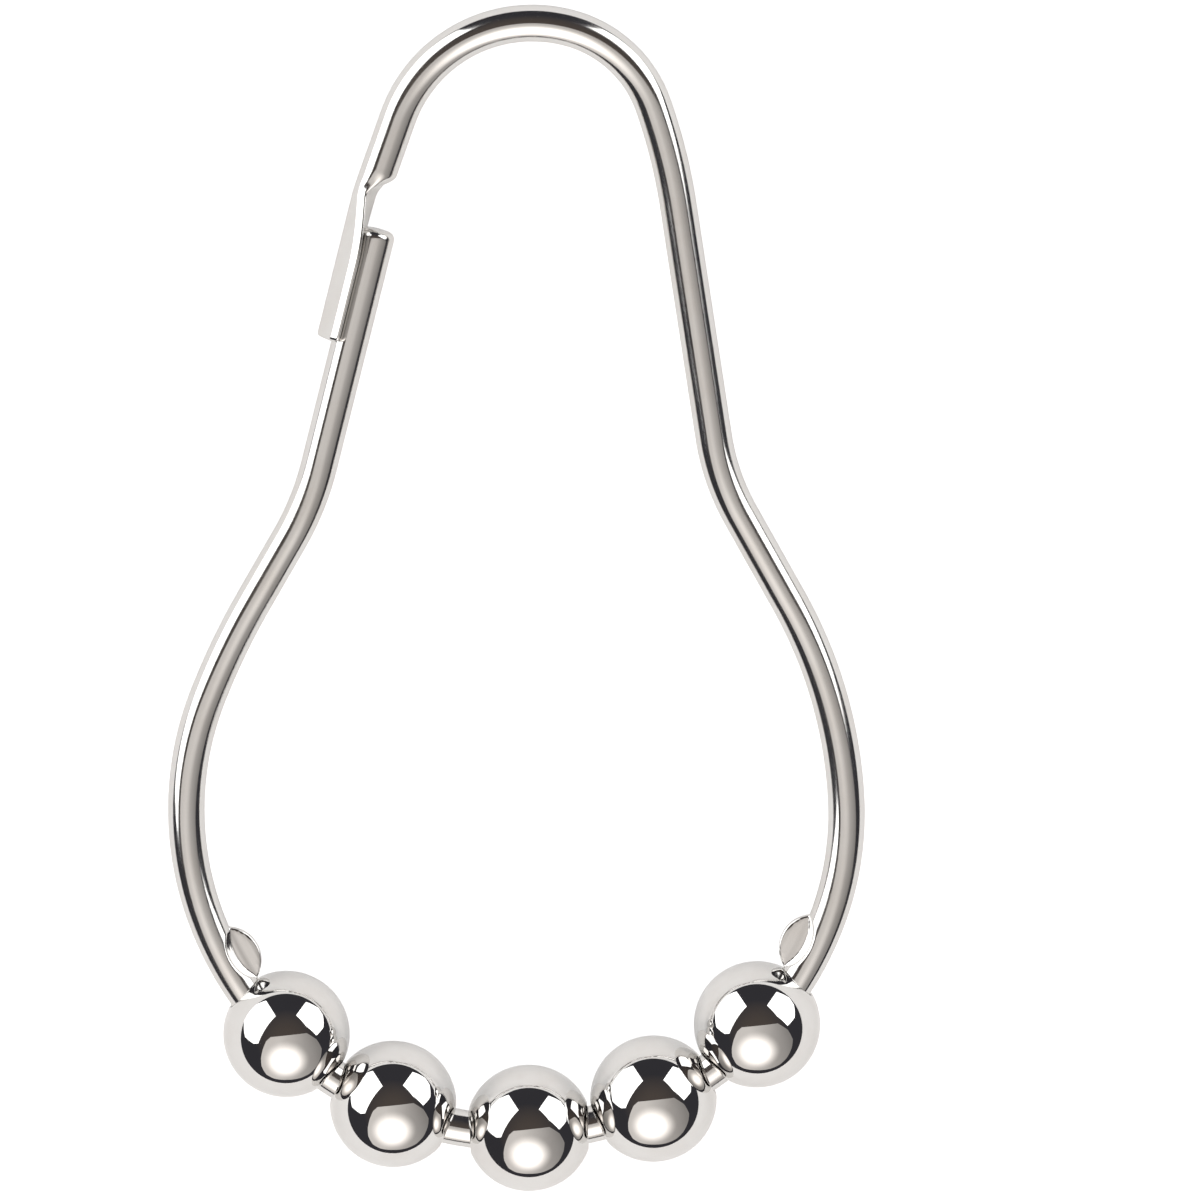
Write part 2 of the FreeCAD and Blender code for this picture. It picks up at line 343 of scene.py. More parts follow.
def bake_modifier(carrier, name):
    """The evaluated result of a carrier's modifier, as a plain object. The carrier goes."""
    evaluated = carrier.evaluated_get(bpy.context.evaluated_depsgraph_get())
    mesh = bpy.data.meshes.new_from_object(evaluated)
    bpy.data.objects.remove(carrier)
    piece = bpy.data.objects.new(name, mesh)
    bpy.context.scene.collection.objects.link(piece)
    return piece


# %% [markdown]
# ## The sweep itself
#
# The cut end of a real wire is tumbled until its sharp edge has worn into a small quarter circle.
# The tree repeats that curve: near the start it works out how far a quarter circle has fallen
# back at each point, and narrows the swept circle by as much.

# %% The tree that sweeps the wire
def wire_tree():
    tree = bpy.data.node_groups.new("Wire sweep", "GeometryNodeTree")
    add_sockets(tree, [("Path", "Geometry"), ("Wire Radius", "Float"), ("Tip Rounding", "Float"),
                       ("Points Around", "Int"), ("Finish", "Material")], "INPUT")
    add_sockets(tree, [("Wire", "Geometry")], "OUTPUT")
    node = tree.nodes.new
    link = tree.links.new
    inputs = node("NodeGroupInput").outputs
    curve = node("GeometryNodeMeshToCurve")
    upright = node("GeometryNodeSetCurveNormal")
    upright.mode = "Z_UP"
    link(inputs["Path"], curve.inputs["Mesh"])
    link(curve.outputs["Curve"], upright.inputs["Curve"])

    along = node("GeometryNodeSplineParameter").outputs["Length"]
    rest = math_node(tree, "SUBTRACT", inputs["Tip Rounding"], along)
    rest = math_node(tree, "MAXIMUM", rest, 0.0)
    rise = math_node(tree, "SUBTRACT", math_node(tree, "POWER", inputs["Tip Rounding"], 2.0),
                     math_node(tree, "POWER", rest, 2.0))
    drop = math_node(tree, "SUBTRACT", inputs["Tip Rounding"], math_node(tree, "SQRT", rise, 0.0))
    share = math_node(tree, "DIVIDE", drop, inputs["Wire Radius"])
    scale = math_node(tree, "SUBTRACT", 1.0, share)

    circle = node("GeometryNodeCurvePrimitiveCircle")
    link(inputs["Points Around"], circle.inputs["Resolution"])
    link(inputs["Wire Radius"], circle.inputs["Radius"])
    sweep = node("GeometryNodeCurveToMesh")
    sweep.inputs["Fill Caps"].default_value = True
    link(upright.outputs["Curve"], sweep.inputs["Curve"])
    link(circle.outputs["Curve"], sweep.inputs["Profile Curve"])
    link(scale, sweep.inputs["Scale"])

    real = node("GeometryNodeRealizeInstances")
    finish = node("GeometryNodeSetMaterial")
    link(sweep.outputs["Mesh"], real.inputs["Geometry"])
    link(real.outputs["Geometry"], finish.inputs["Geometry"])
    link(inputs["Finish"], finish.inputs["Material"])
    link(finish.outputs["Geometry"], node("NodeGroupOutput").inputs["Wire"])
    return tree


sweep = wire_tree()
print("sweep takes", len(sweep.nodes), "nodes")

# %% [markdown]
# ## Run the tree
#
# The path carries the tree as a modifier. The result is kept as a plain mesh, because the next
# steps move its points one by one.

# %% Sweep the wire
POINTS_AROUND = 96
wire_finish = bpy.data.materials.new("bright nickel wire")
carrier = bpy.data.objects.new("wire path", path_mesh)
bpy.context.scene.collection.objects.link(carrier)
modifier = carrier.modifiers.new("sweep", "NODES")
modifier.node_group = sweep
set_input(modifier, "Wire Radius", WIRE_RADIUS)
set_input(modifier, "Tip Rounding", TIP_ROUNDING)
set_input(modifier, "Points Around", POINTS_AROUND)
set_input(modifier, "Finish", wire_finish)
wire = bake_modifier(carrier, "bent_wire")
print("swept wire", len(wire.data.vertices), "points,", len(wire.data.polygons), "faces")

# %% [markdown]
# ## Pinch the ears
#
# Just outside the end balls a press has squeezed the wire's inner side into a thin leaf that
# stops the balls. Cutting such a form with booleans would leave ragged triangles, and polished
# metal shows every one of them. Instead the rings that the sweep made are reshaped. Seen from the
# wire's centre, each section of the ear is a plain outline with one distance for each direction:
# round wire, then the wall that the press punched, then its floor and the leaf's edge. The
# distance comes from simple shapes joined softly, so every corner gets a small radius.

# %% A soft join, and the leaf's outline
EAR_REACH = 0.9


def soft_min(first, second, blend):
    share = max(blend - abs(first - second), 0) / blend
    return min(first, second) - share * share * blend / 4


def leaf_arc(offset, half_length, depth):
    """How far inwards of the wire's centre the arc through a leaf's points runs, at this angle."""
    radius = (half_length ** 2 + depth ** 2) / (2 * depth)
    to_centre = ear_circle - depth + radius
    under = radius ** 2 - (to_centre * math.sin(offset)) ** 2
    if under < 0:
        return None
    arc_height = to_centre * math.cos(offset) - math.copysign(math.sqrt(under), radius)
    return BOTTOM_ARC_RADIUS - arc_height


leaf_middle = leaf_arc(0, EAR_LENGTH / 2, EAR_REACH)
print("leaf reaches", round(leaf_middle, 2), "mm inwards of the wire's centre")

# %% [markdown]
# ## One section of an ear
#
# A section is written as a distance that is below zero inside the metal. In each direction a
# walk inwards, and then some halvings, find the place where it is zero.

# %% One section of an ear
EAR_BITE = 0.5
EAR_HALF = 0.66 / 2
EAR_EDGE = 0.14
PUNCH_LEAN = math.tan(math.radians(28))
WALL_BLEND = 0.07
FLOOR_BLEND = 0.1
HALVINGS = 12


def ear_distance(offset, inwards, height):
    """Below zero inside the metal: round wire, less what the press took, plus the leaf."""
    height = abs(height)
    body = math.hypot(inwards, height) - WIRE_RADIUS
    grown = max(height - EAR_HALF, 0) * PUNCH_LEAN
    wall = leaf_arc(offset, EAR_LENGTH / 2 + grown, -EAR_BITE - grown)
    if wall is not None:
        body = -soft_min(-body, max(EAR_HALF - height, wall - inwards), WALL_BLEND)
    leaf_end = leaf_arc(offset, EAR_LENGTH / 2, EAR_REACH)
    if leaf_end is None or inwards < 0:
        return body
    over = max(height - EAR_HALF + EAR_EDGE, 0)
    past = max(inwards - leaf_end + EAR_EDGE, 0)
    inside = min(max(height - EAR_HALF, inwards - leaf_end) + EAR_EDGE, 0)
    return soft_min(body, math.hypot(over, past) + inside - EAR_EDGE, FLOOR_BLEND)


def ear_radius(offset, angle):
    """Distance from the wire's centre to the ear's surface in one direction."""
    inwards, height = math.cos(angle), math.sin(angle)
    outside = WIRE_RADIUS + EAR_LIFT + EAR_REACH + FLOOR_BLEND
    inside = outside
    while ear_distance(offset, inwards * inside, height * inside) > 0:
        outside = inside
        inside -= EAR_EDGE / 2
    for _ in range(HALVINGS):
        middle = (inside + outside) / 2
        if ear_distance(offset, inwards * middle, height * middle) > 0:
            outside = middle
        else:
            inside = middle
    return inside


print("leaf stands", round(ear_radius(0, 0) - WIRE_RADIUS, 2), "mm proud of the round wire")

# %% [markdown]
# ## Two ears, ring by ring
#
# Each ring near an ear asks the section for its distance in every direction. The points of a
# ring are crowded towards the leaf, because the leaf is thin and its edges need them. The
# crowding fades over several millimetres. If it faded quickly, the faces would be skewed, and the
# highlights on the round wire beside the ear would show a kink.

# %% Reshape the rings of the ears
RING_CROWDING = 0.8
CROWDING_RUN = 4.5


def ear_ring(station, ear):
    """Points of one ring, crowded towards the leaf, or None where the ear doesn't reach."""
    fade = min((EAR_ZONE - abs(station - ear)) / CROWDING_RUN, 1)
    if fade <= 0:
        return None
    crowding = RING_CROWDING * fade * fade * (3 - 2 * fade)
    point, heading = on_wire(station)
    inward = heading_vector(heading + 90)
    offset = (station - ear) / BOTTOM_ARC_RADIUS
    ring = []
    for index in range(POINTS_AROUND):
        angle = 2 * math.pi * index / POINTS_AROUND - math.pi
        angle -= crowding * math.sin(angle)
        radius = ear_radius(offset, angle)
        ring.append(point + inward * radius * math.cos(angle)
                    + Vector((0, 0, radius * math.sin(angle))))
    return ring


wire_points = [vertex.co.copy() for vertex in wire.data.vertices]
reshaped = 0
for number, station in enumerate(stations):
    ring = next(filter(None, (ear_ring(station, ear) for ear in ear_stations)), None)
    if ring:
        first = number * POINTS_AROUND
        wire_points[first:first + POINTS_AROUND] = ring
        reshaped += 1
print("reshaped", reshaped, "rings into two ears")

# %% [markdown]
# ## Fold the catch
#
# Above the free tip the wire has been flattened and folded into an open gutter that the tip snaps
# into. That is the same wire still, so its mesh goes on from the last ring of the sweep with the
# same number of points: the ring's outline changes from a circle to a folded strip and then runs
# on. Both outlines start at the spine and are divided alike, so that every lengthwise line of
# the mesh follows the metal as the press moved it. An edge of the strip may face a little
# outwards, so that it mirrors a lamp as one long white line.

# %% Outline of the gutter
RIM_REACH = 1.32
RIM_WIDTH = 0.53
WALL_CORNER = 0.2
LIP_CORNER = 0.1
SPINE_STEPS = 8
CORNER_STEPS = (3, 5, 2)
FLOOR_STEPS = 4
SIDE_STEPS = (11, 4, 3, 8)
FLOOR_CENTRE = GUTTER_WALL + GUTTER_FLOOR_RADIUS


def arc_points(x, y, radius, first, last, steps):
    """Points on an arc from one direction to another, in radians."""
    turns = [first + (last - first) * step / steps for step in range(steps + 1)]
    return [Vector((x + radius * math.cos(turn), y + radius * math.sin(turn), 0)) for turn in turns]


def round_corner(first, second, radius, steps):
    """An arc between two sides. A side is its outward direction and its distance from 0."""
    (turn_a, far_a), (turn_b, far_b) = first, second
    far_a -= radius
    far_b -= radius
    spread = math.sin(turn_b - turn_a)
    x = (far_a * math.sin(turn_b) - far_b * math.sin(turn_a)) / spread
    y = (far_b * math.cos(turn_a) - far_a * math.cos(turn_b)) / spread
    return arc_points(x, y, radius, turn_a, turn_b, steps)


def half_outline(reach, rim_width, rim_turn, inset):
    """Up one wall from the middle of the spine, over its rim and down to the middle of the floor.

    All the steps add up to half the points of a ring."""
    out = GUTTER_SLOPE + math.pi / 2
    back = GUTTER_SLOPE - math.pi / 2
    thick = GUTTER_FLOOR_RADIUS + GUTTER_WALL
    wall = (out, FLOOR_CENTRE * math.cos(out) + thick)
    rim_start = reach - rim_width
    rim_height = (wall[1] - math.cos(out) * rim_start) / math.sin(out)
    rim = (rim_turn, math.cos(rim_turn) * rim_start + math.sin(rim_turn) * rim_height)
    lip = (0.0, reach)
    lining = (back, FLOOR_CENTRE * math.cos(back) - GUTTER_FLOOR_RADIUS)
    wall, rim, lip, lining = [(turn, far - inset) for turn, far in (wall, rim, lip, lining)]
    arcs = [
        arc_points(FLOOR_CENTRE, 0, thick - inset, math.pi, out, SPINE_STEPS),
        round_corner(wall, rim, WALL_CORNER, CORNER_STEPS[0]),
        round_corner(rim, lip, LIP_CORNER, CORNER_STEPS[1]),
        round_corner(lip, lining, LIP_CORNER, CORNER_STEPS[2]),
        arc_points(FLOOR_CENTRE, 0, GUTTER_FLOOR_RADIUS + inset, out, math.pi, FLOOR_STEPS),
    ]
    outline = arcs[0]
    for arc, steps in zip(arcs[1:], SIDE_STEPS):
        outline += [outline[-1].lerp(arc[0], step / steps) for step in range(1, steps)]
        outline += arc
    return outline


plain_half = half_outline(RIM_REACH, RIM_WIDTH, math.pi / 2, 0)
print("half an outline has", len(plain_half) - 1, "steps, half a ring", POINTS_AROUND // 2)

# %% [markdown]
# ## The catch along its length
#
# Over the shoulder the wire turns a little and thins into the fold. Then the walls rise to their
# full reach, and at the end their corners are rounded off. Each ring is the outline for its own
# place, so all of this is a few numbers that change along the catch.

# %% Rings of the catch
CATCH_RISE = 4.3
FOLD_RUN_OUT = 0.3
BACK_WALL = {"reach": 1.42, "width": 0.68, "turn": math.radians(90)}
FRONT_WALL = {"reach": 0.82, "width": 0.53, "turn": math.radians(117)}
END_ROUNDING = 0.2
RIM_CORNER = 0.4
SHOULDER_BEND = 0.6


def smooth(share):
    share = min(max(share, 0), 1)
    return share * share * (3 - 2 * share)


def edge_drop(rest, radius):
    """How far a rounded edge has fallen back, with this much left to its end."""
    used = min(max(1 - rest / radius, 0), 1)
    return radius * (1 - math.sqrt(1 - used ** 2))


def catch_ring(station):
    """One ring of the catch. Its station is 0 where the gutter starts."""
    turned = min(max((station + SHOULDER_BEND) / (2 * SHOULDER_BEND), 0), 1)
    past_bend = max(station, SHOULDER_BEND * turned ** 2)
    corner = (gutter_corner + heading_vector(shoulder_heading) * (station - past_bend)
              + heading_vector(gutter_heading) * past_bend)
    inward = heading_vector(shoulder_heading + SHOULDER_LEAN * turned + 90)
    risen = math.sin(min(max(station / CATCH_RISE, 0), 1) * math.pi / 2)
    rest = GUTTER_LENGTH - station
    halves = []
    for neck in (BACK_WALL, FRONT_WALL):
        reach = neck["reach"] + (RIM_REACH - neck["reach"]) * risen
        width = neck["width"] + (RIM_WIDTH - neck["width"]) * risen
        reach -= edge_drop(rest, RIM_CORNER) * math.cos(GUTTER_SLOPE)
        halves.append(half_outline(reach, width, neck["turn"], edge_drop(rest, END_ROUNDING)))
    mirror = Vector((1, -1, 1))
    outline = [point * mirror for point in halves[0][:-1]] + halves[1][:0:-1]
    folded = smooth((station + SHOULDER_LENGTH) / (SHOULDER_LENGTH + FOLD_RUN_OUT))
    ring = []
    for index, point in enumerate(outline):
        angle = 2 * math.pi * index / POINTS_AROUND
        circle = Vector((1 - math.cos(angle), -math.sin(angle), 0)) * WIRE_RADIUS
        local = circle.lerp(point, folded)
        ring.append(corner + inward * local.x + Vector((0, 0, local.y)))
    return ring


heights = [point.z for point in catch_ring(GUTTER_LENGTH / 2)]
print("catch is", round(max(heights) - min(heights), 2), "mm wide from rim to rim")

# %% [markdown]
# ## Steps along the catch
#
# The shoulder and the worn end change quickly, so their rings lie close together.

# %% Stations of the catch
SHOULDER_END = 1
SHOULDER_STEP = 0.07
CATCH_STEP = 0.2
LAST_STEP = 0.01
catch_stations = []
station = -SHOULDER_LENGTH
while station < GUTTER_LENGTH:
    rest = GUTTER_LENGTH - station
    if rest < RIM_CORNER:
        step = LAST_STEP + rest * STEP_GROWTH
    elif station < SHOULDER_END:
        step = SHOULDER_STEP
    else:
        step = CATCH_STEP
    station = min(station + min(step, rest), GUTTER_LENGTH)
    catch_stations.append(station)
catch_points = [point for station in catch_stations for point in catch_ring(station)]
print(len(catch_stations), "rings in the catch")

# %% [markdown]
# ## Join the wire into one skin
#
# The reshaped sweep and the catch are one grid of rings, closed by a cap at each end. The grid
# also gives the mesh a map of itself for free: how far along the wire a point is, and how far
# around it. The drawing lines that the wire's die left behind will follow that map.

# %% Build the skin of the wire
all_points = wire_points + catch_points
all_stations = stations + [right_arm.length + SHOULDER_LENGTH + place for place in catch_stations]
ring_count = len(all_stations)
faces = []
for ring in range(ring_count - 1):
    for index in range(POINTS_AROUND):
        after = (index + 1) % POINTS_AROUND
        low = ring * POINTS_AROUND
        high = low + POINTS_AROUND
        faces.append((low + index, low + after, high + after, high + index))
faces.append(tuple(reversed(range(POINTS_AROUND))))
faces.append(tuple(range(len(all_points) - POINTS_AROUND, len(all_points))))

skin = bpy.data.meshes.new("bent_wire")
skin.from_pydata([plane_mm @ point for point in all_points], [], faces)
skin.materials.append(wire_finish)
wire_map = skin.uv_layers.new(name="along and around")
for face in skin.polygons:
    wraps = max(face.vertices) % POINTS_AROUND == POINTS_AROUND - 1
    for loop, vertex in zip(face.loop_indices, face.vertices):
        ring, index = divmod(vertex, POINTS_AROUND)
        if index == 0 and wraps and face.vertices[0] % POINTS_AROUND == POINTS_AROUND - 1:
            index = POINTS_AROUND
        along = (all_stations[ring] - all_stations[0]) / (all_stations[-1] - all_stations[0])
        wire_map.data[loop].uv = (along, index / POINTS_AROUND)
skin.shade_smooth()
wire.data = skin
bm = bmesh.new()
bm.from_mesh(skin)
print("wire skin:", len(skin.polygons), "faces, volume",
      round(bm.calc_volume(signed=True) / MM ** 3, 1), "cubic mm, open edges",
      sum(not edge.is_manifold for edge in bm.edges))
bm.free()

# %% [markdown]
# ## One ball
#
# The real balls are pressed hollow, with a hole through them that the wire passes. A ball is a
# turned shape, so its wall is drawn once and spun around the wire. A plain sphere with a
# boolean hole would give the mouth long thin triangles, just where the neighbours are reflected.
# Here the mouth gets a small rolled lip, which catches a thin bright line as the real one does.

# %% Spin the wall of a ball
BALL_WALL = 0.7
HOLE_CLEARANCE = 0.14
LIP = 0.1
OUTSIDE_STEPS = 44
LIP_STEPS = 8
INSIDE_STEPS = 16
TURNS = 144
hole_radius = WIRE_RADIUS + HOLE_CLEARANCE


def ball_section():
    """Distance from the axis and height of points round the wall, mirrored about the middle."""
    lip_out = hole_radius + LIP
    lip_height = math.sqrt((BALL_RADIUS - LIP) ** 2 - lip_out ** 2)
    lip_angle = math.atan2(lip_height, lip_out)
    inner_radius = BALL_RADIUS - BALL_WALL
    mouth_angle = math.acos(hole_radius / inner_radius)
    outside = arc_points(0, 0, BALL_RADIUS, 0, lip_angle, OUTSIDE_STEPS)
    lip = arc_points(lip_out, lip_height, LIP, lip_angle, math.pi, LIP_STEPS)
    inside = arc_points(0, 0, inner_radius, mouth_angle, 0, INSIDE_STEPS)
    upper = outside + lip[1:] + inside
    lower = [Vector((point.x, -point.y, 0)) for point in reversed(upper[1:-1])]
    return upper + lower


def ball_mesh():
    section = ball_section()
    count = len(section)
    points = []
    for turn in range(TURNS):
        angle = 2 * math.pi * turn / TURNS
        points += [Vector((point.x * math.cos(angle), point.x * math.sin(angle), point.y)) * MM
                   for point in section]
    faces = []
    for turn in range(TURNS):
        low = turn * count
        high = (turn + 1) % TURNS * count
        for index in range(count):
            after = (index + 1) % count
            faces.append((low + index, high + index, high + after, low + after))
    mesh = bpy.data.meshes.new("ball")
    mesh.from_pydata(points, [], faces)
    mesh.shade_smooth()
    return mesh


ball_source = bpy.data.objects.new("ball source", ball_mesh())
bm = bmesh.new()
bm.from_mesh(ball_source.data)
print("ball:", len(bm.faces), "faces, volume",
      round(bm.calc_volume(signed=True) / MM ** 3, 1), "cubic mm")
bm.free()

# %% [markdown]
# ## Thread the balls
#
# Five equal balls on one wire are a task for Instance on Points. Each point lies where the frame
# says that a ball turns, and carries the direction of its axis. The tree stands one ball on the
# point whose number it is given. It runs once for each ball, since each one turns on its own
# body and so has to be a mesh of its own.

# %% The tree that threads a ball
def thread_tree():
    tree = bpy.data.node_groups.new("Thread a ball", "GeometryNodeTree")
    add_sockets(tree, [("Places", "Geometry"), ("Ball", "Object"), ("Number", "Int"),
                       ("Finish", "Material")], "INPUT")
    add_sockets(tree, [("Threaded", "Geometry")], "OUTPUT")
    node = tree.nodes.new
    link = tree.links.new
    inputs = node("NodeGroupInput").outputs
    chosen = node("FunctionNodeCompare")
    chosen.data_type = "INT"
    chosen.operation = "EQUAL"
    link(node("GeometryNodeInputIndex").outputs["Index"], chosen.inputs[2])
    link(inputs["Number"], chosen.inputs[3])
    axis = node("GeometryNodeInputNamedAttribute")
    axis.data_type = "FLOAT_VECTOR"
    axis.inputs["Name"].default_value = "axis"
    turn = node("FunctionNodeAlignRotationToVector")
    turn.axis = "Z"
    link(axis.outputs["Attribute"], turn.inputs["Vector"])
    source = node("GeometryNodeObjectInfo")
    link(inputs["Ball"], source.inputs["Object"])
    thread = node("GeometryNodeInstanceOnPoints")
    link(inputs["Places"], thread.inputs["Points"])
    link(chosen.outputs["Result"], thread.inputs["Selection"])
    link(source.outputs["Geometry"], thread.inputs["Instance"])
    link(turn.outputs["Rotation"], thread.inputs["Rotation"])
    real = node("GeometryNodeRealizeInstances")
    finish = node("GeometryNodeSetMaterial")
    link(thread.outputs["Instances"], real.inputs["Geometry"])
    link(real.outputs["Geometry"], finish.inputs["Geometry"])
    link(inputs["Finish"], finish.inputs["Material"])
    link(finish.outputs["Geometry"], node("NodeGroupOutput").inputs["Threaded"])
    return tree


threading = thread_tree()
print("threading takes", len(threading.nodes), "nodes")

# %% [markdown]
# ## Five balls in their places
#
# The places are five loose points, and each carries its axis as a named attribute.

# %% Thread the five balls
ball_finish = bpy.data.materials.new("mirror nickel balls")
places = bpy.data.meshes.new("ball places")
places.from_pydata(pivots, [], [])
axis_data = places.attributes.new("axis", "FLOAT_VECTOR", "POINT").data
for number, joint in enumerate(ball_joints):
    axis_data[number].vector = Vector(joint["axis"])
balls = []
for number, joint in enumerate(ball_joints):
    carrier = bpy.data.objects.new("ball places", places)
    bpy.context.scene.collection.objects.link(carrier)
    modifier = carrier.modifiers.new("thread", "NODES")
    modifier.node_group = threading
    set_input(modifier, "Ball", ball_source)
    set_input(modifier, "Number", number)
    set_input(modifier, "Finish", ball_finish)
    balls.append(bake_modifier(carrier, "polished_ball_" + str(number + 1)))
bpy.data.objects.remove(ball_source)
print("threaded", [len(ball.data.polygons) for ball in balls])

# %% [markdown]
# ## Bright nickel
#
# Polished nickel is a mirror with a faintly warm tint. What separates real plating from a
# perfect mirror is small: a breath of haze where fingers have been, a slight ripple that makes
# the edges of reflections swim, and hairlines from the polishing wheel or the wire's die. These
# effects are one node group, because the wire and the balls share them, each at its own
# strength. The group gives values only, and the shader stays in the material.

# %% The plating group
HAZE_CLOUDS = (0.45, 0.75)
FINE_LINES = (0.35, 0.75)


def range_node(tree, value, before, after):
    """A Map Range node that takes a socket from one span of values to another."""
    node = tree.nodes.new("ShaderNodeMapRange")
    for name, number in zip(("From Min", "From Max", "To Min", "To Max"), before + after):
        node.inputs[name].default_value = number
    tree.links.new(value, node.inputs["Value"])
    return node


def plating_group():
    tree = bpy.data.node_groups.new("Plating", "ShaderNodeTree")
    add_sockets(tree, [("Place", "Vector"), ("Hairline Place", "Vector"), ("Tone", "Color"),
                       ("Haze Tone", "Color"), ("Cloud Scale", "Float"), ("Polish", "Float"),
                       ("Haze", "Float"), ("Hairlines", "Float"), ("Ripple", "Float")], "INPUT")
    add_sockets(tree, [("Colour", "Color"), ("Roughness", "Float"), ("Height", "Float")], "OUTPUT")
    node = tree.nodes.new
    link = tree.links.new
    inputs = node("NodeGroupInput").outputs
    outputs = node("NodeGroupOutput").inputs

    clouds = node("ShaderNodeTexNoise")
    clouds.inputs["Detail"].default_value = 4
    clouds.inputs["Roughness"].default_value = 0.6
    link(inputs["Place"], clouds.inputs["Vector"])
    link(inputs["Cloud Scale"], clouds.inputs["Scale"])
    haze = range_node(tree, clouds.outputs["Fac"], HAZE_CLOUDS, (0, 1))

    hairlines = node("ShaderNodeTexNoise")
    hairlines.inputs["Scale"].default_value = 1
    hairlines.inputs["Detail"].default_value = 3
    link(inputs["Hairline Place"], hairlines.inputs["Vector"])
    fine = range_node(tree, hairlines.outputs["Fac"], FINE_LINES, (0, 1))

    tone = node("ShaderNodeMix")
    tone.data_type = "RGBA"
    link(haze.outputs["Result"], tone.inputs["Factor"])
    link(inputs["Tone"], tone.inputs[6])
    link(inputs["Haze Tone"], tone.inputs[7])
    link(tone.outputs[2], outputs["Colour"])

    hazed = math_node(tree, "MULTIPLY", haze.outputs["Result"], inputs["Haze"])
    scratched = math_node(tree, "MULTIPLY", fine.outputs["Result"], inputs["Hairlines"])
    dulled = math_node(tree, "ADD", hazed, scratched)
    link(math_node(tree, "ADD", inputs["Polish"], dulled), outputs["Roughness"])

    swell = math_node(tree, "MULTIPLY", clouds.outputs["Fac"], inputs["Ripple"])
    lines = math_node(tree, "MULTIPLY", hairlines.outputs["Fac"], inputs["Hairlines"])
    link(math_node(tree, "ADD", swell, lines), outputs["Height"])
    return tree


plating = plating_group()
print("plating takes", len(plating.nodes), "nodes")

# %% [markdown]
# ## Two finishes from one group
#
# The wire was drawn through a die, so its hairlines follow the map along and around it. The
# balls were polished on a wheel, so theirs are streaks in one direction, which need no map. The
# wire is also a little duller than the balls. Everything else is shared, and one function wires
# the group to a Principled shader for both.

# %% Plate the wire and the balls
DIE_LINES = (14, 70, 1)
WHEEL_LINES = (900, 9000, 9000)
WHEEL_TURN = (0.4, 0.2, 0.7)


def plate(material, values, bump_distance):
    """Nickel on a material: the plating group feeds one Principled shader."""
    material.use_nodes = True
    tree = material.node_tree
    tree.nodes.clear()
    node = tree.nodes.new
    link = tree.links.new
    shader = node("ShaderNodeBsdfPrincipled")
    shader.inputs["Metallic"].default_value = 1
    finish = node("ShaderNodeGroup")
    finish.node_tree = plating
    for name, value in values.items():
        finish.inputs[name].default_value = value
    bump = node("ShaderNodeBump")
    bump.inputs["Distance"].default_value = bump_distance
    link(finish.outputs["Height"], bump.inputs["Height"])
    link(finish.outputs["Colour"], shader.inputs["Base Color"])
    link(finish.outputs["Roughness"], shader.inputs["Roughness"])
    link(bump.outputs["Normal"], shader.inputs["Normal"])
    link(shader.outputs["BSDF"], node("ShaderNodeOutputMaterial").inputs["Surface"])
    coordinates = node("ShaderNodeTexCoord").outputs
    link(coordinates["Object"], finish.inputs["Place"])
    stretch = node("ShaderNodeMapping")
    link(stretch.outputs["Vector"], finish.inputs["Hairline Place"])
    return coordinates, stretch, link


wire_coordinates, wire_stretch, link = plate(wire_finish, {
    "Tone": (0.74, 0.73, 0.715, 1),
    "Haze Tone": (0.70, 0.68, 0.655, 1),
    "Cloud Scale": 260,
    "Polish": 0.08,
    "Haze": 0.05,
    "Hairlines": 0.09,
    "Ripple": 0.3,
}, bump_distance=0.000004)
link(wire_coordinates["UV"], wire_stretch.inputs["Vector"])
wire_stretch.inputs["Scale"].default_value = DIE_LINES

ball_coordinates, ball_stretch, link = plate(ball_finish, {
    "Tone": (0.76, 0.75, 0.735, 1),
    "Haze Tone": (0.72, 0.70, 0.68, 1),
    "Cloud Scale": 420,
    "Polish": 0.015,
    "Haze": 0.03,
    "Hairlines": 0.02,
    "Ripple": 0.25,
}, bump_distance=0.000003)
link(ball_coordinates["Object"], ball_stretch.inputs["Vector"])
ball_stretch.inputs["Rotation"].default_value = WHEEL_TURN
ball_stretch.inputs["Scale"].default_value = WHEEL_LINES
print("two nickel finishes from one plating group")

# %% Ride the bodies
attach(wire, "ring")
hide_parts("wire_ring")
for number, (ball, joint) in enumerate(zip(balls, ball_joints)):
    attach(ball, joint["child"])
    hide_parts("roller_ball_" + str(number + 1))
print("pieces ride on", ["ring"] + [joint["child"] for joint in ball_joints])

# %% [markdown]
# ## The camera
#
# The photograph was taken from far away through a long lens, so nothing in it converges. The
# camera leans a little towards the crown's side. The lean hardly shows in the outline, but the
# polished balls and wires show it clearly: the white table reaches further into the upper half
# of each ball than into the lower one. The camera comes before the lights, because the lights
# are placed by what it sees in the balls.

# %% Look down through a long lens
FRAME_WIDTH = 69.4 * MM
CAMERA_DISTANCE = 0.9
CAMERA_LEAN = math.radians(-10)
FRAME_MIDDLE = Vector((4.84, -0.01, 2.38)) * MM
camera_data = bpy.data.cameras.new("camera")
camera_data.lens = camera_data.sensor_width * CAMERA_DISTANCE / FRAME_WIDTH
camera_data.clip_end = 20
camera = bpy.data.objects.new("camera", camera_data)
camera_turn = Matrix.Rotation(CAMERA_LEAN, 4, "X")
camera.matrix_world = (Matrix.Translation(FRAME_MIDDLE) @ camera_turn
                       @ Matrix.Translation((0, 0, CAMERA_DISTANCE)))
bpy.context.scene.collection.objects.link(camera)
bpy.context.scene.camera = camera
bpy.context.scene.view_settings.view_transform = "Standard"
print("lens", round(camera_data.lens, 1), "mm")

